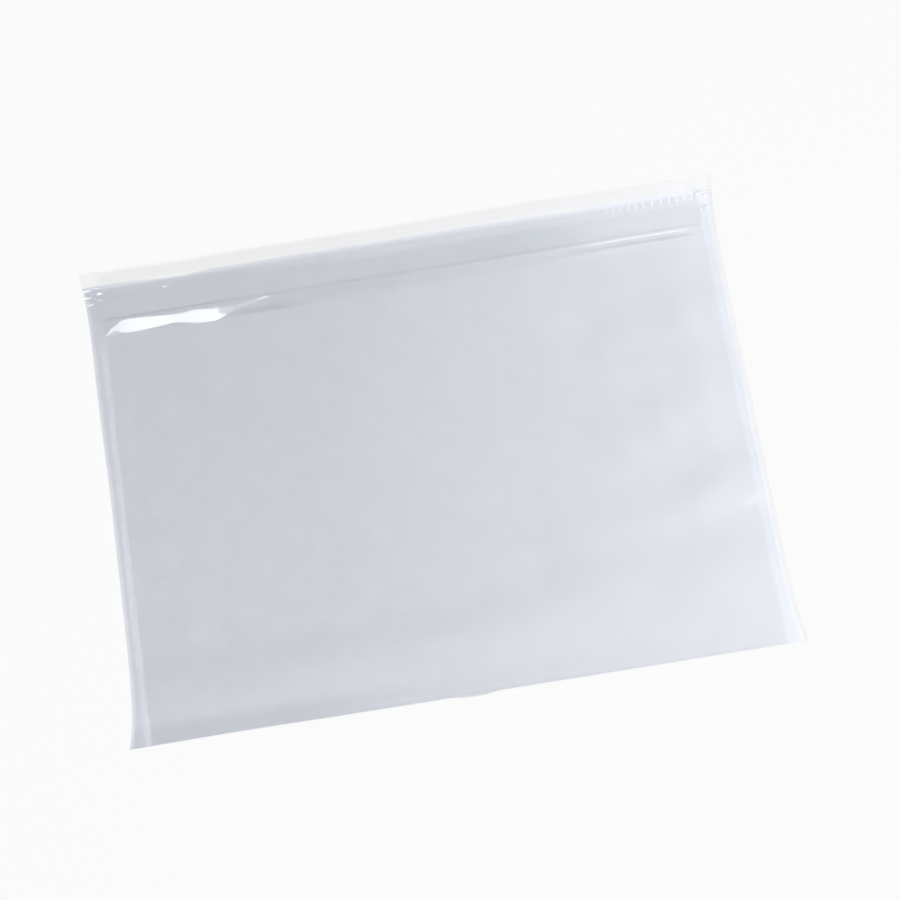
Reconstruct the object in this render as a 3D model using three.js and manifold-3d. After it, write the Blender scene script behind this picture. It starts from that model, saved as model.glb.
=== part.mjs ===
// A clear packing list envelope: a folded film pouch with an overlapped mouth near its top edge, and on its back an
// adhesive coat under a paper release liner. It lies on the liner with the mouth facing up.
// Millimetres. +X runs across the width, +Y towards the mouth, +Z up. The origin is under the middle of the liner.
import * as THREE from "three";
import { mergeVertices } from "three/addons/utils/BufferGeometryUtils.js";
import Module from "manifold-3d";

// Size of the pouch over its corners
const WIDTH = 235;
const HEIGHT = 175;

// Thickness of each layer
const FILM = 0.05;
const COAT = 0.02;
const LINER = 0.06;

// Side seals: their width at mid height, and how far the cut edge draws in there between its flared corners
const SEAL_WIDTH = 5.5;
const SIDE_DRAW = 2.3;
const DRAW_POWER = 8;

// Mouth: the lip's distance from the top edge, and how far the flap reaches under it
const MOUTH_DROP = 19.4;
const OVERLAP = 6.2;

// Room for a folded list: under the flap's free edge, and between the flap and the lip above it
const POCKET_GAP = 0.3;
const MOUTH_GAP = 0.25;

// Bare strip of film above the liner, dry strip of liner above the adhesive, and the adhesive's margin elsewhere
const LINER_SETBACK = 6;
const DRY_STRIP = 4;
const COAT_MARGIN = 1;

// Facets of a cut edge and of a fold
const EDGE_STEPS = 28;
const FOLD_STEPS = 6;

// Heights of the stacked layers
const coatBase = LINER;
const filmBase = coatBase + COAT;
const pocketFloor = filmBase + FILM;

// Places across the width and along the height
const halfWidth = WIDTH / 2;
const halfHeight = HEIGHT / 2;
const sealInner = halfWidth - SIDE_DRAW - SEAL_WIDTH;
const lipEdge = halfHeight - MOUTH_DROP;
const flapEdge = lipEdge - OVERLAP;
const linerTop = halfHeight - LINER_SETBACK;
const coatTop = linerTop - DRY_STRIP;
const coatBottom = COAT_MARGIN - halfHeight;

const film = new THREE.MeshStandardMaterial({
  color: 0xe8edf3,
  roughness: 0.12,
  metalness: 0,
  transparent: true,
  opacity: 0.25,
});
const sealedFilm = new THREE.MeshStandardMaterial({
  color: 0xe3e8ef,
  roughness: 0.3,
  metalness: 0,
  transparent: true,
  opacity: 0.4,
});
const adhesive = new THREE.MeshStandardMaterial({
  color: 0xd5dae2,
  roughness: 0.4,
  metalness: 0,
  transparent: true,
  opacity: 0.4,
});
const glassine = new THREE.MeshStandardMaterial({
  color: 0xd3d8e0,
  roughness: 0.75,
  metalness: 0,
});

const wasm = await Module();
wasm.setup();

// Half the width at a height y: full at the corners, drawn in between them
function sideEdge(y) {
  const towardsCorner = Math.abs(y) / halfHeight;
  return halfWidth - SIDE_DRAW * (1 - Math.pow(towardsCorner, DRAW_POWER));
}

// Points up the right-hand cut edge, moved inwards by a margin
function cutEdge(yLow, yHigh, margin) {
  const points = [];
  for (let i = 0; i <= EDGE_STEPS; i++) {
    const y = THREE.MathUtils.lerp(yLow, yHigh, i / EDGE_STEPS);
    points.push(new THREE.Vector2(sideEdge(y) - margin, y));
  }
  return points;
}

// A flat sheet with the pouch's cut sides, lying on the height zLow
function cutSheet(yLow, yHigh, margin, zLow, thickness) {
  const right = cutEdge(yLow, yHigh, margin);
  const left = right.map((p) => new THREE.Vector2(-p.x, p.y)).reverse();
  const outline = new THREE.Shape([...right, ...left]);
  const sheet = new THREE.ExtrudeGeometry(outline, { depth: thickness, bevelEnabled: false });
  return sheet.translate(0, 0, zLow);
}

// A section drawn in Y and Z, run straight along X from xLow to xHigh
function runAcross(section, xLow, xHigh) {
  const run = new THREE.ExtrudeGeometry(section, { depth: xHigh - xLow, bevelEnabled: false });
  const alongX = new THREE.Matrix4().makeBasis(
    new THREE.Vector3(0, 1, 0),
    new THREE.Vector3(0, 0, 1),
    new THREE.Vector3(1, 0, 0),
  );
  return run.applyMatrix4(alongX).translate(xLow, 0, 0);
}

// Where a fold's half circle is centred: one film thickness in from the pouch's edge at foldY
function foldCentre(foldY) {
  return foldY - Math.sign(foldY) * FILM;
}

// A fold at the edge foldY: the film turns half a circle about the end of the pocket's floor
function fold(foldY) {
  const outwards = Math.sign(foldY);
  const section = new THREE.Shape();
  for (let i = 0; i <= FOLD_STEPS; i++) {
    const angle = Math.PI * (i / FOLD_STEPS - 0.5);
    const y = foldCentre(foldY) + outwards * FILM * Math.cos(angle);
    const z = pocketFloor + FILM * Math.sin(angle);
    if (i === 0) section.moveTo(y, z);
    else section.lineTo(y, z);
  }
  return runAcross(section, -sealInner, sealInner);
}

// A flat panel that rises from its fold at foldY to its free edge at freeY. Its underside stands gap above the
// pocket's floor at the flap's free edge.
function freePanel(foldY, freeY, gap) {
  const start = foldCentre(foldY);
  const slope = gap / Math.abs(flapEdge - start);
  const freeUnderside = pocketFloor + slope * Math.abs(freeY - start);
  const section = new THREE.Shape()
    .moveTo(start, pocketFloor)
    .lineTo(freeY, freeUnderside)
    .lineTo(freeY, freeUnderside + FILM)
    .lineTo(start, pocketFloor + FILM);
  return runAcross(section, -sealInner, sealInner);
}

function backPanel() {
  const panel = new THREE.BoxGeometry(2 * sealInner, HEIGHT - 2 * FILM, FILM);
  return panel.translate(0, 0, filmBase + FILM / 2);
}

function solidOf(geometry) {
  const bare = geometry.clone().deleteAttribute("normal").deleteAttribute("uv");
  const merged = mergeVertices(bare);
  return new wasm.Manifold(
    new wasm.Mesh({
      numProp: 3,
      vertProperties: new Float32Array(merged.attributes.position.array),
      triVerts: new Uint32Array(merged.index.array),
    }),
  );
}

function geometryOf(solid) {
  const mesh = solid.getMesh();
  return new THREE.BufferGeometry()
    .setAttribute("position", new THREE.BufferAttribute(mesh.vertProperties, 3))
    .setIndex(new THREE.BufferAttribute(mesh.triVerts, 1));
}

// The right-hand seal: two plies of film melted into one strip, and three where the lip lies over the flap
function sideSeal() {
  const twoPlies = filmBase + 2 * FILM;
  const threePlies = filmBase + 3 * FILM;
  const plies = new THREE.Shape()
    .moveTo(-halfHeight, filmBase)
    .lineTo(halfHeight, filmBase)
    .lineTo(halfHeight, twoPlies)
    .lineTo(lipEdge, twoPlies)
    .lineTo(lipEdge, threePlies)
    .lineTo(flapEdge, threePlies)
    .lineTo(flapEdge, twoPlies)
    .lineTo(-halfHeight, twoPlies);
  const strip = solidOf(runAcross(plies, sealInner, halfWidth));
  const cut = solidOf(cutSheet(-halfHeight, halfHeight, 0, filmBase, 3 * FILM));
  return geometryOf(strip.intersect(cut));
}

function named(name, geometry, material) {
  const mesh = new THREE.Mesh(geometry, material);
  mesh.name = name;
  return mesh;
}

const rightSeal = named("right_seal", sideSeal(), sealedFilm);
const leftSeal = named("left_seal", rightSeal.geometry, sealedFilm);
leftSeal.scale.x = -1;

const envelope = new THREE.Group();
envelope.add(
  named("release_liner", cutSheet(-halfHeight, linerTop, 0, 0, LINER), glassine),
  named("adhesive_coat", cutSheet(coatBottom, coatTop, COAT_MARGIN, coatBase, COAT), adhesive),
  named("back_panel", backPanel(), film),
  named("bottom_fold", fold(-halfHeight), film),
  named("front_panel", freePanel(-halfHeight, lipEdge, POCKET_GAP + FILM + MOUTH_GAP), film),
  named("top_fold", fold(halfHeight), film),
  named("mouth_flap", freePanel(halfHeight, flapEdge, POCKET_GAP), film),
  leftSeal,
  rightSeal,
);

export default envelope;
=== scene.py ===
"""The looks of a clear packing list envelope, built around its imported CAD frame, and the studio it lies in.

The pouch is one folded web of film with melted side seals, on an adhesive coat and a paper release liner.
Lengths in the properties and the materials are metres. The shape functions work in millimetres. Both use the
frame of the CAD part: +X across the width, +Y towards the mouth and +Z up.
"""

import math

import bpy
import numpy as np
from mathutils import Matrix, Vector, noise


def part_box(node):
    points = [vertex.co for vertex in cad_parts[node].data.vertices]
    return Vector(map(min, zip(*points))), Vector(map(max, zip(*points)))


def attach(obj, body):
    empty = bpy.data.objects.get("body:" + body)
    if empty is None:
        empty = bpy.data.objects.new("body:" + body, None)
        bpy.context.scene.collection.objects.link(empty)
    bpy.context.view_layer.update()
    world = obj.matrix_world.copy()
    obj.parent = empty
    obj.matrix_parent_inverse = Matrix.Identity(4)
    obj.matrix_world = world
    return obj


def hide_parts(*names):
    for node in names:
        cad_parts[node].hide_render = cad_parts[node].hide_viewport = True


bl_info = {
    "name": "Packing List Envelope",
    "version": (1, 0, 0),
    "blender": (4, 5, 0),
    "location": "3D View > Sidebar > Envelope",
    "description": "Models a clear packing list envelope with its liner and lays it in a small studio",
    "category": "Add Mesh",
}

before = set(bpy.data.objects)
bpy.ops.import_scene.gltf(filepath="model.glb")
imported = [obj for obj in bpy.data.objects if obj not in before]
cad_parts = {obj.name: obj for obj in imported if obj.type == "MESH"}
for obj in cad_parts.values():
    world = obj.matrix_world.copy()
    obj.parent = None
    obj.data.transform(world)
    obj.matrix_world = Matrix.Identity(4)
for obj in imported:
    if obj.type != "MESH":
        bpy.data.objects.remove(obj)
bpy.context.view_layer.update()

MM = 0.001

# Edges sharper than this stay sharp, and how far apart the noise's layers lie
SMOOTH_ANGLE = math.radians(50)
LAYER_STEP = 7.31

LINER_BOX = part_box("release_liner")
COAT_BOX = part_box("adhesive_coat")
FRONT_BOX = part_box("front_panel")
FLAP_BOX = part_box("mouth_flap")
FOLD_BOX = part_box("top_fold")


def length(name, description, default):
    """A length property in metres."""
    return bpy.props.FloatProperty(
        name=name, description=description, default=default, unit="LENGTH", precision=5
    )


def colour(name, description, default):
    """A colour property, linear, without alpha."""
    return bpy.props.FloatVectorProperty(
        name=name, description=description, default=default, subtype="COLOR", size=3, min=0, max=1
    )


def power(name, description, default):
    """A lamp's power in watts."""
    return bpy.props.FloatProperty(
        name=name, description=description, default=default, unit="POWER", min=0
    )


def fraction(name, description, default):
    """A share from 0 to 1."""
    return bpy.props.FloatProperty(name=name, description=description, default=default, min=0, max=1)


def brightness(name, description, default):
    """A light's strength, which has no unit."""
    return bpy.props.FloatProperty(name=name, description=description, default=default, min=0)


class EnvelopeSizes(bpy.types.PropertyGroup):
    """Sizes of the envelope, taken from the CAD frame where it has them."""

    width: length("Width", "Over the flared corners", LINER_BOX[1].x - LINER_BOX[0].x)
    top: length("Top edge", "Height of the top fold above the middle", FOLD_BOX[1].y)
    bottom: length("Bottom edge", "Height of the bottom fold, below the middle", LINER_BOX[0].y)
    seal_line: length("Seal line", "Inner edge of a side seal, from the middle", FRONT_BOX[1].x)
    lip_edge: length("Lip edge", "Height of the front panel's free edge", FRONT_BOX[1].y)
    flap_edge: length("Flap edge", "Height of the tucked flap's free edge", FLAP_BOX[0].y)
    liner_top: length("Liner top", "Height of the liner's upper edge", LINER_BOX[1].y)
    coat_top: length("Adhesive top", "Height of the adhesive's upper edge", COAT_BOX[1].y)
    coat_bottom: length("Adhesive bottom", "Height of the adhesive's lower edge", COAT_BOX[0].y)
    coat_margin: length("Adhesive margin", "Bare margin of the liner at the sides", 0.001)
    skirt: length("Film skirt", "How far the film stands past the liner at the right", 0.0013)
    side_draw: length("Side draw", "How far the cut sides draw in between the corners", 0.0023)
    film: length("Film gauge", "Thickness of one ply of film", 0.00005)
    coat: length("Adhesive gauge", "Thickness of the adhesive coat", 0.00002)
    liner: length("Liner gauge", "Thickness of the release liner", 0.00006)
    air: length("Air between layers", "Room left between the stacked sheets", 0.00003)
    roll_reach: length("Roll reach", "Distance of a fold's crest from the fold", 0.0022)
    roll_height: length("Roll height", "Height of a fold's crest", 0.0003)


class EnvelopeFinishes(bpy.types.PropertyGroup):
    """Colours and finishes of the envelope's materials."""

    paper: colour("Glassine", "Greyish paper of the liner", (0.778, 0.787, 0.797))
    # The clouds' grey is also used for painted shade, at the upper left and in a low band
    paper_clouds_and_shade: colour("Glassine clouds", "Denser clouds in the paper", (0.725, 0.734, 0.746))
    # This grey is painted shade, along the liner's lower rim and at its lower left
    paper_painted_shade: colour("Glassine rim", "Soiled lower rim of the liner", (0.52, 0.535, 0.57))
    # This pale colour is painted light: glints, highlights, sheen and pale rims on the liner
    painted_light: colour("Glassine creases", "Pale creases near the liner's upper edge", (0.97, 0.98, 1.0))
    adhesive: colour("Adhesive", "Tint of the adhesive coat", (0.42, 0.445, 0.50))
    haze: colour("Film haze", "Milky haze of the film", (0.64, 0.67, 0.71))
    # This grey is painted shade: the top fold's bare band, under the lip, and the seals' bare band and right
    # skirt
    shade_grey: colour("Film folds", "Grey of the film where it is folded or pressed", (0.48, 0.485, 0.51))
    # This grey is painted shade: a line on the flap past the lip's edge, and the right seal's skirt
    rim: colour("Film rim", "Grey of the seal's free rim past the liner", (0.3, 0.304, 0.318))
    weld: colour("Weld", "Pale melted film of the seals", (0.70, 0.73, 0.77))
    film_veil: fraction("Film veil", "Share of light that one film surface stops", 0.045)
    film_roughness: fraction("Film roughness", "Roughness of the glossy film", 0.14)


class StudioSetup(bpy.types.PropertyGroup):
    """Camera, lamps and floor of the studio."""

    lens: bpy.props.FloatProperty(
        name="Lens", description="Focal length on a 36 mm sensor", default=75.29, subtype="DISTANCE_CAMERA"
    )
    floor: colour("Floor", "Pale floor", (0.969, 0.969, 0.969))
    side_power: power("Side lamp", "Small lamp on the right, for the sparkle of the crumpled seals", 1.5)
    strip_power: power("Strip lamp", "Long panel that the curled lip mirrors", 3.1)
    sky: brightness("Overhead light", "Strength of the broad soft light above, towards the right", 2.1)
    shade: brightness("Surroundings", "Strength of the even light all around", 0.3)


def smooth(value, low, high):
    """Rises smoothly from 0 at low to 1 at high."""
    t = np.clip((value - low) / (high - low), 0, 1)
    return t * t * (3 - 2 * t)


def chain(value, places, heights):
    """Runs smoothly through the heights at the places, level at each of them."""
    rise = heights[0]
    for i in range(len(places) - 1):
        rise = rise + (heights[i + 1] - heights[i]) * smooth(value, places[i], places[i + 1])
    return rise


def cloud(x, y, size, layer):
    """Soft noise from -1 to 1 with features of about the given size. Each layer is a pattern of its own."""
    flat = zip(np.ravel(x) / size, np.ravel(y) / size)
    values = [noise.noise(Vector((a, b, layer * LAYER_STEP))) for a, b in flat]
    return np.reshape(values, np.shape(x))


def bump(value, at, reach):
    """A soft hump of height 1 at a place, which falls off over its reach."""
    return np.exp(-(((value - at) / reach) ** 2))


def wrinkle(x, y, points, heights, widths):
    """A soft wrinkle along a line of points, with a height and a half-width at each of them."""
    rise = np.zeros(np.shape(x))
    for i in range(len(points) - 1):
        start, end = np.array(points[i], float), np.array(points[i + 1], float)
        along = end - start
        t = np.clip(((x - start[0]) * along[0] + (y - start[1]) * along[1]) / along.dot(along), 0, 1)
        away = np.hypot(x - start[0] - t * along[0], y - start[1] - t * along[1])
        height = heights[i] + t * (heights[i + 1] - heights[i])
        width = widths[i] + t * (widths[i + 1] - widths[i])
        here = height * bump(away, 0, width)
        rise = np.where(np.abs(here) > np.abs(rise), here, rise)
    return rise


class PouchShape:
    """Heights and outlines of the envelope's sheets, in millimetres."""

    # Soft wrinkles that the whole envelope takes: points, heights and half-widths
    SWELLS = (
        (((-104, -71), (-40, -67), (40, -62), (106, -59)), (0.2, 0.28, 0.2, 0.06), (8, 9, 9, 8)),
        (((111, -24), (88, -33), (58, -38), (8, -43)), (0.5, 0.5, 0.24, 0), (7, 8, 10, 12)),
        (((110, 7), (82, -1), (55, -5)), (0.3, 0.45, 0), (8, 10, 12)),
        (((110, 39), (98, 37), (90, 36)), (0.25, 0.2, 0), (6, 7, 7)),
        (((110, -58), (88, -61), (70, -63)), (0.25, 0.14, 0), (7, 8, 8)),
        (((-92, -46), (-94, -52), (-88, -57)), (0.16, 0.24, 0), (4, 4, 4)),
    )

    # Dents of the front panel alone
    DENTS = (
        (((80, 45), (63, 38), (50, 18)), (-0.1, -0.25, 0), (9, 9, 9)),
        (((14, -44), (30, -45), (48, -44)), (-0.04, -0.15, 0), (7, 7, 7)),
    )

    # Sharp crumples near the mouth, in the side seals and, about x = -86, in the flap: places across and up,
    # half-lengths and heights
    CRUMPLES = (
        (-115.6, 80.9, 2.2, 0.28),
        (-115.3, 78.2, 1.9, 0.28),
        (-114.8, 75.4, 1.7, 0.28),
        (-111.5, 81.3, 1.0, 0.2),
        (-110.4, 79.3, 1.8, 0.34),
        (-110.9, 76.5, 1.3, 0.15),
        (-86.9, 78.0, 1.5, 0.36),
        (-86.0, 75.7, 1.2, 0.2),
        (114.2, 75.5, 1.6, 0.26),
        (113.9, 79.7, 1.6, 0.26),
        (110.8, 80.9, 1.2, 0.25),
        (111.2, 74.5, 1.1, 0.23),
    )
    # Slope below a crumple's crest, what each millimetre up adds to it, and how much steeper the far side is
    CRUMPLE_SLOPE, CRUMPLE_STEEPER, CRUMPLE_DROP = 0.24, 0.00128, 3

    # The curl at the lip's left end: places across, its limits under the lip's edge, and its slope
    CURL_AT = (
        -110.5, -110, -108.5, -106, -103.5, -97.5, -89.5, -85, -81, -77, -69.5, -66.5, -62.5, -48.5, -46
    )
    CURL_LOW = (6.4, 6.5, 6.5, 6.5, 6.5, 6.4, 5.9, 5.3, 5.9, 7.0, 7.1, 5.9, 4.3, 0.7, 0.2)
    CURL_MID = (6.4, 6.4, 5.2, 4.0, 5.4, 6.4, 5.9, 5.3, 5.9, 7.0, 7.1, 5.9, 4.3, 0.7, 0.2)
    CURL_HIGH = (5.9, 5.4, 3.9, 2.5, 1.1, 1.3, 1.7, 2.0, 1.9, 1.7, 2.2, 2.6, 2.2, 0.2, 0.2)
    CURL_SLOPE = (0.32, 0.32, 0.32, 0.32, 0.32, 0.32, 0.32, 0.32, 0.32, 0.32, 0.32, 0.28, 0.26, 0.21, 0)
    # From the lower to the middle limit the curl is flatter by this share. Past the upper one it falls.
    CURL_FLATTER, CURL_FALL = 0.17, 0.25

    # Upturned edge at the lip's right end: its height, and where it starts and ends
    EDGE_HEIGHT, EDGE_START, EDGE_END = 0.36, (45, 75), (104, 109)

    # Bead along the lip: its height, where it starts, its distance from the edge, half-width and slack
    BEAD_HEIGHT, BEAD_START, BEAD_DISTANCE, BEAD_WIDTH, BEAD_SLACK = 0.1, (-66, -50), 0.6, 0.4, 6

    # Ridge behind the lip: places across with its heights, its distance from the edge, and half-width
    RIDGE_AT = (-70, -60, -48, -20, 40, 75, 103, 109)
    RIDGE_HEIGHT = (0, 0.25, 0.2, 0.06, 0.06, 0.36, 0.36, 0)
    RIDGE_NEARS, RIDGE_DISTANCE, RIDGE_WIDTH = (40, 75), (4.9, 3.9), 1.3

    # Cut sides: how sharply they flare at the corners, and how much further the left one draws in, and where
    DRAW_POWER = 8
    LEFT_DRAW, LEFT_DRAW_FROM, LEFT_DRAW_FULL = 0.6, 42, 0

    # Bends of the folded edges: places across, half-widths and depths, and how far in from the fold they fade
    BOTTOM_BENDS, BOTTOM_FADE = ((-77, 28, 0.3),), 10
    TOP_BENDS, TOP_FADE = ((45, 30, 0.7), (-82, 12, -0.4)), 7

    # Ground: mean height, height and size of its clouds, and the lift of the right side at places across
    GROUND, GROUND_CLOUD, GROUND_CLOUD_SIZE = 0.05, 0.05, 45
    RIGHT_LIFT, RIGHT_LIFT_AT, RIGHT_LIFT_SHARE = 0.3, (20, 110, 116.5), (0, 1, 0)

    # Room between plies that cling together, and the least room under the slack front panel
    CLING, LEAST_ROOM = 0.004, 0.02

    # Flap: where it settles behind its fold and how high, its steps up (height, from, to), its waves, its
    # slack, and the margin at the seals where crumples are the seal's alone
    FLAP_SETTLE = (7, 0.1)
    FLAP_STEPS = ((0.12, 8, 24), (0.12, 15.5, 20))
    FLAP_WAVE, FLAP_WAVE_SIZE, FLAP_SLACK, SEAL_MARGIN = 0.25, 38, 10, 5

    # Front panel: heights at distances from the bottom fold, rise towards the mouth (height, from, to),
    # clouds (height, size, from, to) and slack
    FRONT_AT, FRONT_HEIGHT = (0, 0.25, 1, 2.4, 5.5, 14), (0, 0.16, 0.07, 0.13, 0.04, 0.3)
    FRONT_RISE, FRONT_RISE_FROM, FRONT_RISE_FULL = 0.12, 20, 60
    FRONT_CLOUD, FRONT_CLOUD_SIZE, FRONT_CLOUD_FROM, FRONT_CLOUD_FULL = 0.1, 32, 8, 20
    FRONT_SLACK = 12

    # Over the flap: room under the lip, how far below the flap it counts, and where the lift starts and ends
    LIP_ROOM, FLAP_REACH, LIFT_BELOW, LIFT_ABOVE = 0.05, 6, 5, 0.2

    # Liner's upper edge: mean rise, waves (height, size) and one dip (place across, half-width, depth)
    LINER_RISE, LINER_WAVES, LINER_DIP = 0.4, ((0.35, 26), (0.2, 9)), (-82, 9, 1.1)

    # Sliver of liner past the bottom fold: its length, place across and half-width
    SLIVER, SLIVER_AT, SLIVER_WIDTH = 0.7, 2, 6

    def __init__(self, sizes):
        self.half_width = sizes.width / 2 / MM
        self.top = sizes.top / MM
        self.bottom = sizes.bottom / MM
        self.seal_line = sizes.seal_line / MM
        self.lip_edge = sizes.lip_edge / MM
        self.flap_edge = sizes.flap_edge / MM
        self.side_draw = sizes.side_draw / MM
        self.film = sizes.film / MM
        self.roll_reach = sizes.roll_reach / MM
        self.roll_height = sizes.roll_height / MM
        air = sizes.air / MM
        self.coat_base = sizes.liner / MM + air
        self.film_base = self.coat_base + sizes.coat / MM + air
        self.pocket_floor = self.film_base + self.film

    def side_edge(self, y, side):
        """Distance of the left (-1) or right (1) cut edge from the middle, drawn in between its corners."""
        drawn = self.side_draw
        if side < 0:
            drawn = drawn + self.LEFT_DRAW * smooth(y, self.LEFT_DRAW_FROM, self.LEFT_DRAW_FULL)
        return self.half_width - drawn * (1 - (np.abs(y) / self.top) ** self.DRAW_POWER)

    def draw_in(self, x, y):
        """Bends the folded edges a little: the bottom one at the left, and the top one twice."""
        low = sum(depth * bump(x, at, reach) for at, reach, depth in self.BOTTOM_BENDS)
        high = sum(depth * bump(x, at, reach) for at, reach, depth in self.TOP_BENDS)
        bent = y + low * smooth(y, self.bottom + self.BOTTOM_FADE, self.bottom)
        return bent + high * smooth(y, self.top - self.TOP_FADE, self.top)

    def liner_edges(self, x, y, height):
        """How far the liner's wavy upper edge moves up, and its sliver at the bottom moves down."""
        wave = self.LINER_RISE
        for layer, (rise, size) in enumerate(self.LINER_WAVES, start=4):
            wave = wave + rise * cloud(x, y * 0, size, layer)
        at, reach, depth = self.LINER_DIP
        wave = wave - depth * bump(x, at, reach)
        sliver = self.SLIVER * np.exp(-(((x - self.SLIVER_AT) / self.SLIVER_WIDTH) ** 4))
        return wave * smooth(height, 0.9, 1), sliver * smooth(height, 0.06, 0)

    def ground(self, x, y):
        """Height of the liner's underside above the floor."""
        rise = self.GROUND + self.GROUND_CLOUD * cloud(x, y, self.GROUND_CLOUD_SIZE, 1)
        for points, heights, widths in self.SWELLS:
            rise = rise + wrinkle(x, y, points, heights, widths)
        rise = rise + self.RIGHT_LIFT * chain(x, self.RIGHT_LIFT_AT, self.RIGHT_LIFT_SHARE)
        return np.maximum(rise, 0)

    def crumple(self, x, y):
        """Small creases across a side seal: a slope up to a sharp crest, level along most of its length."""
        rise = np.zeros(np.shape(x))
        for at, crest, reach, height in self.CRUMPLES:
            below = (crest - y) * (self.CRUMPLE_SLOPE + self.CRUMPLE_STEEPER * crest) / height
            above = np.clip(1 + self.CRUMPLE_DROP * below, 0, 1)
            slope = np.where(below < 0, above, np.clip(1 - below, 0, 1))
            rise = np.maximum(rise, height * slope * smooth(np.abs(x - at), reach, 0.5 * reach))
        return rise

    def slack(self, x, reach):
        """0 at the side seals, where the plies are melted together, and 1 further in."""
        return smooth(self.seal_line - np.abs(x), 0, reach)

    def roll(self, distance, settle_at, settle):
        """Height of a ply that turns round a fold: a rounded crest, then down to where it settles."""
        t = np.clip(1 - distance / self.roll_reach, 0, 1)
        rounded = self.roll_height * np.sqrt(1 - t * t)
        lowered = (self.roll_height - settle) * smooth(distance, self.roll_reach, settle_at)
        return rounded - lowered

    def flap_gap(self, x, y):
        """Room under the tucked flap: the top fold's roll, then steps up towards its free edge."""
        distance = self.top - y
        gap = self.roll(distance, *self.FLAP_SETTLE)
        for height, start, end in self.FLAP_STEPS:
            gap = gap + height * smooth(distance, start, end)
        gap = gap * (1 + self.FLAP_WAVE * cloud(x, y * 0, self.FLAP_WAVE_SIZE, 2))
        inside = np.abs(x) < self.seal_line - self.SEAL_MARGIN
        return self.CLING + self.slack(x, self.FLAP_SLACK) * gap + self.crumple(x, y) * inside

    def front_gap(self, x, y):
        """Room under the front panel, up to its free lip at the mouth."""
        distance = y - self.bottom
        gap = chain(distance, self.FRONT_AT, self.FRONT_HEIGHT)
        gap = gap + self.FRONT_RISE * smooth(y, self.FRONT_RISE_FROM, self.FRONT_RISE_FULL)
        clouded = self.FRONT_CLOUD * smooth(distance, self.FRONT_CLOUD_FROM, self.FRONT_CLOUD_FULL)
        gap = gap + clouded * cloud(x, y, self.FRONT_CLOUD_SIZE, 3)
        for points, heights, widths in self.DENTS:
            gap = gap + wrinkle(x, y, points, heights, widths)
        gap = self.CLING + self.slack(x, self.FRONT_SLACK) * np.maximum(gap, self.LEAST_ROOM)
        flap = self.flap_gap(x, np.maximum(y, self.flap_edge - self.FLAP_REACH))
        over_flap = flap + self.film + self.LIP_ROOM
        lifted = smooth(y, self.flap_edge - self.LIFT_BELOW, self.flap_edge + self.LIFT_ABOVE)
        gap = gap + lifted * np.maximum(over_flap - gap, 0)
        return gap + self.lip_curl(x, y)

    def lip_curl(self, x, y):
        """How the free lip curls up: a facet at the left, its edge at the right, a bead and a ridge."""
        from_edge = np.clip(self.lip_edge - y, 0, None)
        tables = (self.CURL_LOW, self.CURL_MID, self.CURL_HIGH, self.CURL_SLOPE)
        low, mid, high, slope = (np.interp(x, self.CURL_AT, table) for table in tables)
        facet = slope * np.clip(low - np.maximum(from_edge, high), 0, None)
        facet = facet - self.CURL_FLATTER * slope * np.clip(low - np.maximum(from_edge, mid), 0, None)
        facet = facet - self.CURL_FALL * np.clip(high - from_edge, 0, None) * np.sign(facet)
        right = smooth(x, *self.EDGE_START) * (1 - smooth(x, *self.EDGE_END))
        edge = self.EDGE_HEIGHT * right * np.exp(-from_edge)
        bead = self.BEAD_HEIGHT * smooth(x, *self.BEAD_START) * self.slack(x, self.BEAD_SLACK)
        bead = bead * bump(from_edge, self.BEAD_DISTANCE, self.BEAD_WIDTH)
        ridge = np.interp(x, self.RIDGE_AT, self.RIDGE_HEIGHT)
        ridge_line = np.interp(x, self.RIDGE_NEARS, self.RIDGE_DISTANCE)
        ridge = ridge * bump(from_edge, ridge_line, self.RIDGE_WIDTH)
        return np.maximum(facet, 0) + edge + bead + ridge


def spread(low, high, step):
    """Evenly spaced values from low to high, about a step apart."""
    return np.linspace(low, high, max(2, round(abs(high - low) / step) + 1))


def lay_sheet(name, points, gauge, flat_u, flat_v):
    """Makes a closed sheet: a grid on the points, thickened along its normals. UV holds its flat pattern."""
    rows, columns = points.shape[:2]
    bpy.ops.object.select_all(action="DESELECT")
    bpy.ops.mesh.primitive_grid_add(x_subdivisions=columns - 1, y_subdivisions=rows - 1, size=2)
    sheet = bpy.context.object
    sheet.name = name
    sheet.data.name = name
    mesh = sheet.data
    if len(mesh.vertices) != rows * columns:
        raise RuntimeError(f"{name}: the grid has {len(mesh.vertices)} points, not {rows * columns}")
    mesh.vertices.foreach_set("co", np.ravel(points * MM))
    corner = np.empty(len(mesh.loops), dtype=np.int64)
    mesh.loops.foreach_get("vertex_index", corner)
    pattern = np.stack([np.ravel(flat_u), np.ravel(flat_v)], axis=1) * MM
    mesh.uv_layers[0].data.foreach_set("uv", np.ravel(pattern[corner]))
    mesh.update()
    wall = sheet.modifiers.new("Gauge", "SOLIDIFY")
    wall.thickness = gauge * MM
    wall.offset = 1
    bpy.ops.object.modifier_apply(modifier=wall.name)
    bpy.ops.object.shade_smooth_by_angle(angle=SMOOTH_ANGLE)
    return sheet


class Value:
    """An output socket of a material. Arithmetic on it adds Math nodes."""

    def __init__(self, material, socket):
        self.material = material
        self.socket = socket

    def math(self, operation, first, second=0.0):
        return self.material.math(operation, first, second)

    def __add__(self, other):
        return self.math("ADD", self, other)

    def __radd__(self, other):
        return self.math("ADD", other, self)

    def __sub__(self, other):
        return self.math("SUBTRACT", self, other)

    def __rsub__(self, other):
        return self.math("SUBTRACT", other, self)

    def __mul__(self, other):
        return self.math("MULTIPLY", self, other)

    def __rmul__(self, other):
        return self.math("MULTIPLY", other, self)

    def __pow__(self, other):
        return self.math("POWER", self, other)

    def __rpow__(self, other):
        return self.math("POWER", other, self)

    def __abs__(self):
        return self.math("ABSOLUTE", self)


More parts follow.
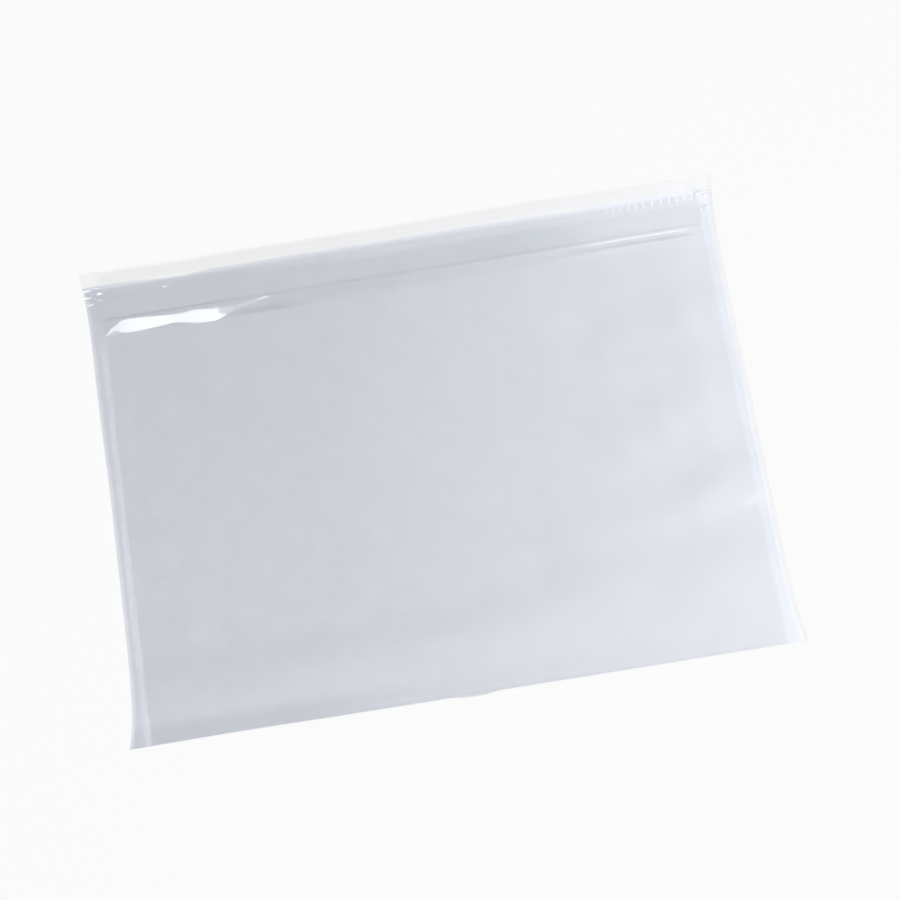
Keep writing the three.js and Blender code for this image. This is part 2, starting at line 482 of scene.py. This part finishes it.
class Shader:
    """The node tree of a material or of the world, built node by node."""

    def __init__(self, owner):
        owner.use_nodes = True
        self.owner = owner
        self.tree = owner.node_tree
        self.tree.nodes.clear()

    def add(self, kind, settings, inputs, output=0):
        """Adds a node: its settings first, then its sockets' values or links. Gives one of its outputs."""
        node = self.tree.nodes.new(kind)
        for key, value in settings.items():
            setattr(node, key, value)
        for key, value in inputs.items():
            if isinstance(value, Value):
                self.tree.links.new(value.socket, node.inputs[key])
            else:
                node.inputs[key].default_value = value
        return None if output is None else Value(self, node.outputs[output])

    def math(self, operation, first, second):
        """A Math node on two values."""
        return self.add("ShaderNodeMath", {"operation": operation}, {0: first, 1: second})

    def place(self, source="Object"):
        """A point on the surface, as a vector and as its three values."""
        point = self.add("ShaderNodeTexCoord", {}, {}, source)
        return point, [self.add("ShaderNodeSeparateXYZ", {}, {0: point}, axis) for axis in "XYZ"]

    def grain(self, point, scale, detail, roughness, stretch=(1, 1, 1)):
        """Noise from 0 to 1, about 0.5, on a point stretched by the given scales."""
        turned = self.add("ShaderNodeMapping", {}, {"Vector": point, "Scale": stretch})
        return self.add(
            "ShaderNodeTexNoise",
            {"noise_dimensions": "3D"},
            {"Vector": turned, "Scale": scale, "Detail": detail, "Roughness": roughness},
            "Fac",
        )

    def step(self, value, low, high):
        """Rises smoothly from 0 at low to 1 at high."""
        return self.add(
            "ShaderNodeMapRange",
            {"interpolation_type": "SMOOTHSTEP"},
            {"Value": value, "From Min": low, "From Max": high},
        )

    def blend(self, share, first, second):
        """Mixes two colours."""
        inputs = {"Factor": share, "A": first, "B": second}
        return self.add("ShaderNodeMix", {"data_type": "RGBA"}, inputs, "Result")

    def close(self, kind, surface):
        """Links the finished surface to the tree's output and gives the material or world."""
        self.add(kind, {}, {"Surface": surface}, None)
        return self.owner


def new_finish(name):
    """An empty material's shader."""
    return Shader(bpy.data.materials.new(name))


def rgba(value):
    """A colour with full alpha."""
    return (*value, 1.0)


def paper_tone(paper, looks, sizes, x, y, share):
    """The paper's greys: its clouds, painted shade at the upper left, in a low band, at the lower left and
    along the lower rim, and the strip above the lip, which goes towards the adhesive's tint.
    """
    # Painted shade: the paper is greyer at the upper left and in a soft band low across it
    upper_left = 0.4 * paper.step(y, -0.03, 0.06) * paper.step(x, 0.02, -0.09)
    band_height = -0.0615 + 0.01 * paper.step(x, 0, 0.045) + 0.005 * paper.step(x, 0.04, 0.1)
    lower_band = 0.45 * paper.step(abs(y - band_height), 0.009, 0.001)
    darker = upper_left + lower_band
    tone = paper.blend(share - darker, rgba(looks.paper_clouds_and_shade), rgba(looks.paper))
    # Painted shade: greyer towards the bottom at the left, and along the lower rim
    lower_left = 0.3 * paper.step(y, sizes.bottom + 0.009, sizes.bottom + 0.0045)
    lower_left = lower_left * paper.step(x, -0.02, -0.06)
    lower_rim = 0.25 * paper.step(y, sizes.bottom + 0.0014, sizes.bottom + 0.0004)
    tone = paper.blend(lower_left + lower_rim, tone, rgba(looks.paper_painted_shade))
    # The strip above the lip goes towards the adhesive's tint: partly the adhesive soaking in, partly painted
    # shade, stronger towards the right
    above_lip = paper.step(y, sizes.lip_edge - 0.001, sizes.lip_edge + 0.001)
    raised = y - 0.003 * paper.step(x, -0.015, -0.07)
    soaked_and_shaded = above_lip * paper.step(raised, sizes.coat_top + 0.0006, sizes.coat_top - 0.0008)
    soaked_and_shaded = soaked_and_shaded * paper.step(x, 0.085, 0.045) * (0.7 + 1.8 * paper.step(x, -0.05, 0.045))
    return paper.blend(0.075 * soaked_and_shaded, tone, rgba(looks.adhesive))


def painted_light_marks(paper, sizes, point, x, y, from_left):
    """Where the paper is painted paler, all of it painted light: glints in a row under its top, a highlight
    along its top and above the lip's right end, pale rims at its sides, a sheen spot and the upper right.
    """
    ripple = paper.add(
        "ShaderNodeTexWave",
        {},
        {"Vector": point, "Scale": 105, "Distortion": 2.5, "Detail": 1, "Detail Scale": 1.5},
        "Fac",
    )
    # Painted glints in a row under the liner's top edge
    glint_row = paper.step(y, sizes.liner_top - 0.0034, sizes.liner_top - 0.0028)
    glint_row = glint_row * paper.step(x, 0.06, 0.09)
    painted_light = 0.85 * paper.step(ripple, 0.75, 0.92) * glint_row
    # Painted highlight along the liner's top edge, and above the lip at the right
    upper_rim = 0.75 * paper.step(y, sizes.liner_top - 0.0018, sizes.liner_top + 0.0003)
    above_lip = 0.14 * paper.step(y, sizes.lip_edge - 0.001, sizes.lip_edge + 0.004)
    upper_rim = upper_rim + above_lip * paper.step(x, 0.04, 0.09)
    # Painted light along the rims of both sides, brightest past the right seal line
    left_rim = 0.45 * paper.step(from_left, 0.0018, 0.0003)
    painted_light_step = 0.28 * paper.step(x, sizes.seal_line - 0.0007, sizes.seal_line + 0.0008)
    right_rim = painted_light_step + 0.27 * paper.step(x, sizes.seal_line + 0.002, sizes.seal_line + 0.0045)
    # Painted sheen in a small spot on the right margin
    painted_sheen_spot = paper.step(abs(y - 0.25 * x + 0.063), 0.0026, 0.0004)
    painted_sheen_spot = painted_sheen_spot * paper.step(abs(x - 0.108), 0.005, 0.001)
    side_rim = paper.math("MAXIMUM", left_rim, right_rim + 0.4 * painted_sheen_spot)
    pale = paper.math("MAXIMUM", paper.math("MAXIMUM", painted_light, upper_rim), side_rim)
    # Painted light, paler towards the upper right
    upper_right = 0.1 * paper.step(y, sizes.lip_edge - 0.03, sizes.lip_edge) * paper.step(x, 0.02, 0.085)
    return pale + upper_right


def glassine_finish(looks, sizes):
    """Siliconised glassine: greyish, matt and cloudy, with fine fibre grain, and with painted shade and
    painted highlights.
    """
    paper = new_finish("glassine")
    point, (x, y, _) = paper.place()
    _, (from_left, _, _) = paper.place("UV")
    clouds = paper.grain(point, 120, 3, 0.55)
    fibre = paper.grain(point, 750, 4, 0.65)
    share = paper.step(0.35 * clouds + 0.65 * fibre, 0.36, 0.64)
    tone = paper_tone(paper, looks, sizes, x, y, share)
    # The painted light goes over the paper's tone
    tone = paper.blend(painted_light_marks(paper, sizes, point, x, y, from_left), tone, rgba(looks.painted_light))
    relief = paper.add("ShaderNodeBump", {}, {"Strength": 0.25, "Distance": 0.00003, "Height": fibre})
    surface = paper.add(
        "ShaderNodeBsdfPrincipled",
        {},
        {"Base Color": tone, "Roughness": 0.62 + 0.12 * fibre, "Normal": relief, "IOR": 1.45},
    )
    return paper.close("ShaderNodeOutputMaterial", surface)


def see_through(finish, veil, surface):
    """A thin clear layer: see-through, with the surface showing by the veil."""
    clear = finish.add("ShaderNodeBsdfTransparent", {}, {})
    layer = finish.add("ShaderNodeMixShader", {}, {0: veil, 1: clear, 2: surface})
    return finish.close("ShaderNodeOutputMaterial", layer)


# Index of refraction that gives a see-through layer its gloss, since only its thin veil reflects
GLOSS_IOR = 16.0


def adhesive_finish(looks, sizes):
    """Clear hot-melt adhesive that makes the liner look a little denser, with a soft upper end."""
    coat_veil, soft_end = 0.018, 0.002
    coat = new_finish("adhesive")
    _, (_, up, _) = coat.place("UV")
    full = sizes.coat_top - sizes.coat_bottom
    veil = coat_veil * coat.step(up, full, full - soft_end)
    surface = coat.add(
        "ShaderNodeBsdfPrincipled",
        {},
        {"Base Color": rgba(looks.adhesive), "Roughness": 0.5},
    )
    return see_through(coat, veil, surface)


def film_finish(looks, sizes, web_length):
    """Clear glossy film: greyer by painted shade over the bare band at the top fold, in a line just past the
    lip and under the lip; whiter at its cut edges.
    """
    bare_end, bare_full = 0.0064, 0.0047
    cling_reach, edge_width = 0.006, 0.0004
    left_hollow, middle_hollow = 0.058, 0.112
    film = new_finish("film")
    _, (across, along, _) = film.place("UV")
    facing = film.add("ShaderNodeLayerWeight", {}, {"Blend": 0.5}, "Facing")
    # The web runs from the flap's free edge over the top fold, the back and the bottom fold to the lip
    fold = sizes.top - sizes.flap_edge
    half_back = (sizes.top - sizes.bottom) / 2
    half_web = web_length / 2
    lip_line = sizes.lip_edge - sizes.flap_edge + 0.0005
    back = film.math("LESS_THAN", abs(along - (fold + half_back)), half_back)
    from_fold = abs(along - fold)
    # Painted shade: the film-only band at the top fold is greyer and more veiled
    bare = film.step(from_fold, bare_end, bare_full)
    edge_fade = 0.35 + 0.65 * film.step(from_fold, 0.0002, 0.0016)
    clinging = film.math("LESS_THAN", along, cling_reach)
    cut_edge = film.step(abs(along - half_web), half_web - edge_width, half_web)
    # Painted shadow of the lip's edge, a grey line on the flap just past it
    shadowed = film.step(abs(along - lip_line), 0.0005, 0.0001)
    # Painted shade in the overlap under the lip, at the left and in the middle
    hollow_shade = film.step(abs(across - left_hollow), 0.016, 0.007) * film.step(along, 0.003, 0.0014)
    under_lip = clinging * film.step(along, 0.0005, 0.004)
    hollow_shade = hollow_shade + 0.5 * under_lip * film.step(abs(across - middle_hollow), 0.055, 0.02)
    clear = looks.film_veil * (1 - 0.6 * (back + clinging))
    veil = edge_fade * (clear + 0.85 * facing**5) + 0.004 * bare
    veil = veil + 0.03 * (cut_edge + hollow_shade) + 0.016 * shadowed
    # Where the painted shade greys the film
    shade_grey = bare + 0.8 * (shadowed + hollow_shade)
    grey = film.blend(shadowed, rgba(looks.shade_grey), rgba(looks.rim))
    surface = film.add(
        "ShaderNodeBsdfPrincipled",
        {},
        {
            "Base Color": film.blend(shade_grey, rgba(looks.haze), grey),
            "Metallic": shade_grey,
            "Roughness": looks.film_roughness,
            "IOR": GLOSS_IOR,
        },
    )
    return see_through(film, veil, surface)


def weld_finish(looks, sizes):
    """Melted film of the side seals, squeezed together: more veil along the weld line, crumpled near the
    mouth, with painted shade over its bare band above the liner and on its right skirt.
    """
    weld = new_finish("sealed_film")
    point, (x, y, _) = weld.place()
    _, (from_cut, _, _) = weld.place("UV")
    crinkle = weld.grain(point, 420, 2, 0.6, (1, 0.45, 1))
    crumple = weld.grain(point, 900, 1, 0.5, (0.5, 1.4, 1))
    near_mouth = weld.step(y, sizes.lip_edge - 0.012, sizes.lip_edge + 0.004)
    near_mouth = near_mouth - weld.step(y, sizes.top - 0.005, sizes.top - 0.003)
    line = weld.step(abs(x), sizes.seal_line + 0.0025, sizes.seal_line + 0.0017)
    facing = weld.add("ShaderNodeLayerWeight", {}, {"Blend": 0.5}, "Facing")
    # Painted shade: the bare band above the liner and the right skirt past it are grey
    bare = weld.step(y, sizes.liner_top - 0.0006, sizes.liner_top + 0.0004)
    skirt = weld.step(from_cut, sizes.skirt + 0.0003, sizes.skirt - 0.0002) * weld.step(x, 0, 0.01)
    shade_grey = weld.math("MAXIMUM", bare, skirt)
    grey = weld.blend(skirt, rgba(looks.shade_grey), rgba(looks.rim))
    clear = 0.06 + 0.02 * line + 0.03 * near_mouth * crumple
    veil = clear * (1 - 0.35 * bare) + 0.8 * facing**5
    height = 0.1 * crinkle + 0.12 * crumple * near_mouth
    relief = weld.add("ShaderNodeBump", {}, {"Strength": 0.8, "Distance": 0.0004, "Height": height})
    surface = weld.add(
        "ShaderNodeBsdfPrincipled",
        {},
        {
            "Base Color": weld.blend(shade_grey, rgba(looks.weld), grey),
            "Metallic": shade_grey,
            "Roughness": 0.16 + 0.15 * crinkle,
            "IOR": GLOSS_IOR,
            "Normal": relief,
        },
    )
    return see_through(weld, veil, surface)


def dress(piece, material, nodes):
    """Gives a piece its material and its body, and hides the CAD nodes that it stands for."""
    piece.data.materials.clear()
    piece.data.materials.append(material)
    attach(piece, "root")
    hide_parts(*nodes)


class ENVELOPE_OT_release_liner(bpy.types.Operator):
    """Lay the paper liner with its drawn-in sides and its slightly wavy upper edge"""

    bl_idname = "envelope.release_liner"
    bl_label = "Release Liner"
    bl_options = {"REGISTER", "UNDO"}

    def execute(self, context):
        columns, rows = 122, 90
        sizes = context.scene.envelope_sizes
        shape = PouchShape(sizes)
        across, height = np.meshgrid(spread(0, 1, 1 / columns), spread(0, 1, 1 / rows))
        y = shape.bottom + height * (sizes.liner_top / MM - shape.bottom)
        left, right = -shape.side_edge(y, -1), shape.side_edge(y, 1) - sizes.skirt / MM
        x = left + across * (right - left)
        flat_v = y - shape.bottom
        upper, sliver = shape.liner_edges(x, y, height)
        y = shape.draw_in(x, y) + upper - sliver
        points = np.stack([x, y, shape.ground(x, y)], axis=2)
        liner = lay_sheet("release_liner_sheet", points, sizes.liner / MM, x - left, flat_v)
        finish = glassine_finish(context.scene.envelope_finishes, sizes)
        dress(liner, finish, ["release_liner"])
        sizes.liner_top - sizes.bottom
        return {"FINISHED"}


class ENVELOPE_OT_adhesive_coat(bpy.types.Operator):
    """Lay the adhesive coat on the liner"""

    bl_idname = "envelope.adhesive_coat"
    bl_label = "Adhesive Coat"
    bl_options = {"REGISTER", "UNDO"}

    def execute(self, context):
        columns, rows = 120, 88
        edge_wave, edge_wave_size = 0.4, 17
        left_rise, rise_from, rise_full = 3, -15, -70
        sizes = context.scene.envelope_sizes
        shape = PouchShape(sizes)
        across, height = np.meshgrid(spread(0, 1, 1 / columns), spread(0, 1, 1 / rows))
        low, high = sizes.coat_bottom / MM, sizes.coat_top / MM
        y = low + height * (high - low)
        margin = sizes.coat_margin / MM
        left = margin - shape.side_edge(y, -1)
        right = shape.side_edge(y, 1) - sizes.skirt / MM - margin
        x = left + across * (right - left)
        flat_v = y - low
        upper = edge_wave * cloud(x, y * 0, edge_wave_size, 6) + left_rise * smooth(x, rise_from, rise_full)
        y = y + upper * smooth(height, 0.93, 1)
        points = np.stack([x, y, shape.ground(x, y) + shape.coat_base], axis=2)
        coat = lay_sheet("adhesive_layer", points, sizes.coat / MM, x - x.min(), flat_v)
        finish = adhesive_finish(context.scene.envelope_finishes, sizes)
        dress(coat, finish, ["adhesive_coat"])
        return {"FINISHED"}


class ENVELOPE_OT_film_pouch(bpy.types.Operator):
    """Fold the film web: tucked flap, top fold, back, bottom fold and front panel with its free lip"""

    bl_idname = "envelope.film_pouch"
    bl_label = "Film Pouch"
    bl_options = {"REGISTER", "UNDO"}

    def execute(self, context):
        sizes = context.scene.envelope_sizes
        shape = PouchShape(sizes)
        columns = self.columns(shape)
        plies = []
        for rows, gap in (
            (self.flap_rows(shape), shape.flap_gap),
            (self.back_rows(shape), None),
            (self.front_rows(shape), shape.front_gap),
        ):
            x, y = np.meshgrid(columns, rows)
            lift = gap(x, y) if gap else 0
            z = shape.ground(x, y) + shape.pocket_floor + lift
            plies.append(np.stack([x, shape.draw_in(x, y), z], axis=2))
        points = np.concatenate(plies)
        steps = np.linalg.norm(np.diff(points, axis=0), axis=2).mean(axis=1)
        run = np.concatenate([[0], np.cumsum(steps)])
        flat_v = np.repeat(run[:, None], len(columns), axis=1)
        pouch = lay_sheet("film_pouch", points, shape.film, points[:, :, 0] + shape.seal_line, flat_v)
        nodes = ["back_panel", "bottom_fold", "front_panel", "top_fold", "mouth_flap"]
        finish = film_finish(context.scene.envelope_finishes, sizes, run[-1] * MM)
        dress(pouch, finish, nodes)
        return {"FINISHED"}

    def columns(self, shape):
        """Places across the web, closer under the curled lip at the left and along the right end."""
        curl_end, right_start, inset = -45, 65, 0.02
        return np.concatenate(
            [
                spread(-shape.seal_line + inset, curl_end, 0.6),
                spread(curl_end, right_start, 1.7)[1:],
                spread(right_start, shape.seal_line - inset, 0.9)[1:],
            ]
        )

    def flap_rows(self, shape):
        """Heights from the flap's free edge to the top fold, closest at its crumples and in the fold."""
        crumple_low, crumple_high = 74.4, 78.8
        turn = shape.roll_reach * (1 - np.cos(spread(0, math.pi / 2, math.pi / 20)))
        return np.concatenate(
            [
                spread(shape.flap_edge, crumple_low, 1)[:-1],
                spread(crumple_low, crumple_high, 0.2)[:-1],
                spread(crumple_high, shape.top - shape.roll_reach, 1)[:-1],
                shape.top - turn[::-1],
            ]
        )

    def back_rows(self, shape):
        """Heights down the flat back, just short of both folds."""
        inset = 0.15
        return spread(shape.top - inset, shape.bottom + inset, 4)

    def front_rows(self, shape):
        """Heights from the bottom fold up to the lip, closest at both."""
        bottom, lip = shape.bottom, shape.lip_edge
        under_flap = shape.flap_edge - 3
        return np.concatenate(
            [
                spread(bottom, bottom + 0.25, 0.05),
                spread(bottom + 0.25, bottom + 1, 0.15)[1:],
                spread(bottom + 1, bottom + 7, 0.4)[1:],
                spread(bottom + 7, under_flap, 2)[1:],
                spread(under_flap, lip - 2, 0.4)[1:],
                spread(lip - 2, lip, 0.2)[1:],
            ]
        )


class ENVELOPE_OT_side_seals(bpy.types.Operator):
    """Melt the side seals: crinkled strips with a weld line and a drawn-in cut edge"""

    bl_idname = "envelope.side_seals"
    bl_label = "Side Seals"
    bl_options = {"REGISTER", "UNDO"}

    def execute(self, context):
        columns = 18
        sizes = context.scene.envelope_sizes
        shape = PouchShape(sizes)
        finish = weld_finish(context.scene.envelope_finishes, sizes)
        across, y = np.meshgrid(spread(0, 1, 1 / columns), self.rows(shape))
        for name, node, side in (("left_side_seal", "left_seal", -1), ("right_side_seal", "right_seal", 1)):
            out = across * (shape.side_edge(y, side) - shape.seal_line)
            x = side * (shape.seal_line + out)
            z = shape.ground(x, y) + shape.film_base + self.lift(shape, x, y, across, out, side)
            points = np.stack([x, y, z], axis=2)
            flat_u = shape.side_edge(y, side) - shape.seal_line - out
            if side < 0:
                points, flat_u = points[:, ::-1], flat_u[:, ::-1]
            seal = lay_sheet(name, points, 2 * shape.film, flat_u, y - shape.bottom)
            dress(seal, finish, [node])
        web = (sizes.top - sizes.flap_edge) + (sizes.top - sizes.bottom) + (sizes.lip_edge - sizes.bottom)
        2 * sizes.seal_line
        return {"FINISHED"}

    def rows(self, shape):
        """Heights up a seal, closest at the crumples beside the mouth."""
        crumple_low, crumple_high = shape.top - 14, shape.top - 5
        return np.concatenate(
            [
                spread(shape.bottom, crumple_low, 0.5),
                spread(crumple_low, crumple_high, 0.14)[1:],
                spread(crumple_high, shape.top, 0.5)[1:],
            ]
        )

    def lift(self, shape, x, y, across, out, side):
        """A seal's height over its bed: crimps, the left one's thick weld, a curled rim and crumples."""
        crimp_height, crimp_size = 0.05, 1.4
        curl_height, curl_size = 0.12, 16
        weld_at, weld_height = (0, 0.1, 2.5, 6), (0, 0, 0.24, 0.1)
        weld_end, weld_full = 78, 50
        crimp = crimp_height * cloud(x, y, crimp_size, 8) * smooth(across, 0.1, 0.5)
        weld = np.interp(out, weld_at, weld_height) * smooth(y, weld_end, weld_full) if side < 0 else 0
        curl = curl_height * (0.5 + 0.5 * cloud(x * 0, y, curl_size, 9)) * across**3
        return np.maximum(crimp + weld + curl, 0) + shape.crumple(x, y)


def area_lamp(name, place, aim, size, watts):
    """A soft white rectangular lamp at a place, turned to its aim."""
    lamp = bpy.data.lights.new(name, "AREA")
    lamp.shape = "RECTANGLE"
    lamp.size, lamp.size_y = size
    lamp.energy = watts
    holder = bpy.data.objects.new(name, lamp)
    holder.location = place
    holder.rotation_euler = (Vector(aim) - Vector(place)).to_track_quat("-Z", "Y").to_euler()
    bpy.context.collection.objects.link(holder)


class ENVELOPE_OT_studio(bpy.types.Operator):
    """Set the pale floor, the soft lamps and the camera"""

    bl_idname = "envelope.studio"
    bl_label = "Studio"
    bl_options = {"REGISTER", "UNDO"}

    # The camera fitted to the photo, and the tint of the overhead light
    CAMERA_PLACE = (0.001912, -0.179704, 0.642128)
    CAMERA_TURN = (0.269854, 0.035809, -0.155391)
    SKY_TINT = (0.92, 0.95, 1.02, 1)

    # Floor: its radius, how far it lies under the liner, and the share of it that glows to the eye
    FLOOR_RADIUS, FLOOR_DROP, FLOOR_GLOW = 4, 0.00002, 0.9

    def execute(self, context):
        setup = context.scene.envelope_studio
        self.lay_floor(setup)
        self.hang_lamps(setup)
        self.light_surroundings(context, setup)
        self.set_camera(context, setup)
        context.scene.view_settings.view_transform = "Standard"
        cycles = context.scene.cycles
        cycles.transparent_max_bounces = 32
        cycles.max_bounces = 3
        cycles.diffuse_bounces = 2
        cycles.glossy_bounces = 2
        cycles.use_light_tree = False
        cycles.caustics_reflective = False
        cycles.caustics_refractive = False
        return {"FINISHED"}

    def lay_floor(self, setup):
        """A wide pale disc that stays near white where it is seen, and still takes shadows."""
        bpy.ops.object.select_all(action="DESELECT")
        bpy.ops.mesh.primitive_circle_add(
            vertices=96, radius=self.FLOOR_RADIUS, fill_type="NGON", location=(0, 0, -self.FLOOR_DROP)
        )
        floor = bpy.context.object
        floor.name = "floor"
        bpy.ops.object.transform_apply(location=True)
        paint = new_finish("floor_paint")
        camera, glossy, transmission = (
            paint.add("ShaderNodeLightPath", {}, {}, f"Is {kind} Ray")
            for kind in ("Camera", "Glossy", "Transmission")
        )
        seen = camera + glossy + transmission
        matt = paint.add("ShaderNodeBsdfDiffuse", {}, {"Color": rgba(setup.floor)})
        glow = paint.add("ShaderNodeEmission", {}, {"Color": rgba(setup.floor), "Strength": 1.0})
        clamped = {"operation": "MULTIPLY", "use_clamp": True}
        share = paint.add("ShaderNodeMath", clamped, {0: seen, 1: self.FLOOR_GLOW})
        surface = paint.add("ShaderNodeMixShader", {}, {0: share, 1: matt, 2: glow})
        floor.data.materials.append(paint.close("ShaderNodeOutputMaterial", surface))

    def hang_lamps(self, setup):
        """A small lamp for the sparkle of the seals, and the long panel that the curled lip mirrors."""
        area_lamp(
            "side_lamp", place=(0.6, -0.45, 0.6), aim=(0, 0, 0), size=(0.22, 0.22), watts=setup.side_power
        )
        area_lamp(
            "strip_lamp", place=(0, -0.2, 1), aim=(0, 0.065, 0), size=(0.9, 0.16), watts=setup.strip_power
        )

    def light_surroundings(self, context, setup):
        """Even light with a broad soft panel overhead, towards the right. The camera sees a pale backdrop."""
        sky = Shader(bpy.data.worlds.new("surroundings"))
        _, (x, y, z) = sky.place("Generated")
        to_right = 0.93 * x - 0.15 * y
        panel = sky.step(to_right, -0.124, 0.17) - 0.3 * sky.step(to_right, 0.25, 0.4)
        overhead = sky.step(z, 0.72, 0.88)
        strength = setup.shade + setup.sky * panel * overhead
        light = sky.add("ShaderNodeBackground", {}, {"Color": self.SKY_TINT, "Strength": strength})
        seen = sky.add("ShaderNodeLightPath", {}, {}, "Is Camera Ray")
        backdrop = sky.add("ShaderNodeBackground", {}, {"Color": rgba(setup.floor), "Strength": 1.0})
        surface = sky.add("ShaderNodeMixShader", {}, {0: seen, 1: light, 2: backdrop})
        context.scene.world = sky.close("ShaderNodeOutputWorld", surface)

    def set_camera(self, context, setup):
        """The camera that took the photo, as fitted to the envelope's outline."""
        lens = bpy.data.cameras.new("camera")
        lens.lens = setup.lens
        lens.sensor_width = 36
        lens.clip_start = 0.01
        camera = bpy.data.objects.new("camera", lens)
        camera.location = self.CAMERA_PLACE
        camera.rotation_euler = self.CAMERA_TURN
        context.collection.objects.link(camera)
        context.scene.camera = camera


class ENVELOPE_PT_sidebar(bpy.types.Panel):
    """Lists the envelope's pieces and its studio"""

    bl_label = "Packing List Envelope"
    bl_idname = "ENVELOPE_PT_sidebar"
    bl_space_type = "VIEW_3D"
    bl_region_type = "UI"
    bl_category = "Envelope"

    def draw(self, context):
        layout = self.layout
        for operator in PIECES:
            layout.operator(operator.bl_idname)
        scene = context.scene
        for group in (scene.envelope_sizes, scene.envelope_finishes, scene.envelope_studio):
            box = layout.box()
            for key in group.__annotations__:
                box.prop(group, key)


PIECES = (
    ENVELOPE_OT_release_liner,
    ENVELOPE_OT_adhesive_coat,
    ENVELOPE_OT_film_pouch,
    ENVELOPE_OT_side_seals,
    ENVELOPE_OT_studio,
)
CLASSES = (EnvelopeSizes, EnvelopeFinishes, StudioSetup, *PIECES, ENVELOPE_PT_sidebar)


def register():
    for cls in CLASSES:
        bpy.utils.register_class(cls)
    bpy.types.Scene.envelope_sizes = bpy.props.PointerProperty(type=EnvelopeSizes)
    bpy.types.Scene.envelope_finishes = bpy.props.PointerProperty(type=EnvelopeFinishes)
    bpy.types.Scene.envelope_studio = bpy.props.PointerProperty(type=StudioSetup)


def unregister():
    del bpy.types.Scene.envelope_studio
    del bpy.types.Scene.envelope_finishes
    del bpy.types.Scene.envelope_sizes
    for cls in reversed(CLASSES):
        bpy.utils.unregister_class(cls)


def main():
    register()
    bpy.ops.envelope.release_liner()
    bpy.ops.envelope.adhesive_coat()
    bpy.ops.envelope.film_pouch()
    bpy.ops.envelope.side_seals()
    bpy.ops.envelope.studio()


if __name__ == "__main__":
    main()
